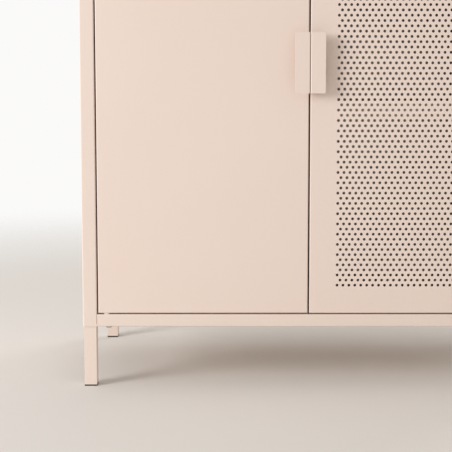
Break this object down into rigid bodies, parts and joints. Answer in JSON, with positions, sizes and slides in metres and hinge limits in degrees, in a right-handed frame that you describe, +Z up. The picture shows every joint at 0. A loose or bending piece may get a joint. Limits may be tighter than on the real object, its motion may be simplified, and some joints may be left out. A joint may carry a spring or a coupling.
{
  "type": "locker cabinet",
  "caption": "Two-door sheet-steel locker cabinet with one plain and one perforated door, wrap-round pulls, inner shelves and square legs.",
  "frame": {"origin": "on the floor, under the middle of the bounding box", "axes": "+Z up, +X to the right seen from the front, doors face -Y"},
  "size_m": [0.8, 0.42, 1.04],
  "materials": {
    "powder_coat": "satin powder coat, pale peach",
    "zinc_steel": "zinc plated",
    "black_plastic": "matt",
    "nylon": "smooth",
    "magnet": "matt ferrite"
  },
  "bodies": {
    "carcass": {"left_side": "powder_coat", "right_side": "powder_coat", "top_panel": "powder_coat", "bottom_panel": "powder_coat", "back_panel": "powder_coat", "back_screws": "zinc_steel", "left_front_upright": "powder_coat", "left_rear_upright": "powder_coat", "right_front_upright": "powder_coat", "right_rear_upright": "powder_coat", "shelf_clips": "zinc_steel", "lower_shelf": "powder_coat", "upper_shelf": "powder_coat", "pivot_bushes": "nylon", "lower_stop": "powder_coat", "upper_stop": "powder_coat", "stop_screws": "zinc_steel", "catch_magnets": "magnet", "front_left_leg": "powder_coat", "front_right_leg": "powder_coat", "rear_left_leg": "powder_coat", "rear_right_leg": "powder_coat", "front_left_foot": "black_plastic", "front_right_foot": "black_plastic", "rear_left_foot": "black_plastic", "rear_right_foot": "black_plastic", "leg_bolts": "zinc_steel"},
    "left_door": {"left_door_panel": "powder_coat", "left_door_stiffener": "powder_coat", "left_pivot_pins": "zinc_steel", "left_handle": "powder_coat", "left_handle_screws": "zinc_steel"},
    "right_door": {"right_door_sheet": "powder_coat", "right_door_frame": "powder_coat", "right_pivot_pins": "zinc_steel", "right_handle": "powder_coat", "right_handle_screws": "zinc_steel"}
  },
  "joints": [
    {"name": "left_door_swing", "type": "hinge", "parent": "carcass", "child": "left_door", "pos_m": [-0.3575, -0.183, 0.574], "axis": [0, 0, -1], "range_deg": [0, 110]},
    {"name": "right_door_swing", "type": "hinge", "parent": "carcass", "child": "right_door", "pos_m": [0.3575, -0.183, 0.574], "axis": [0, 0, 1], "range_deg": [0, 110]}
  ]
}
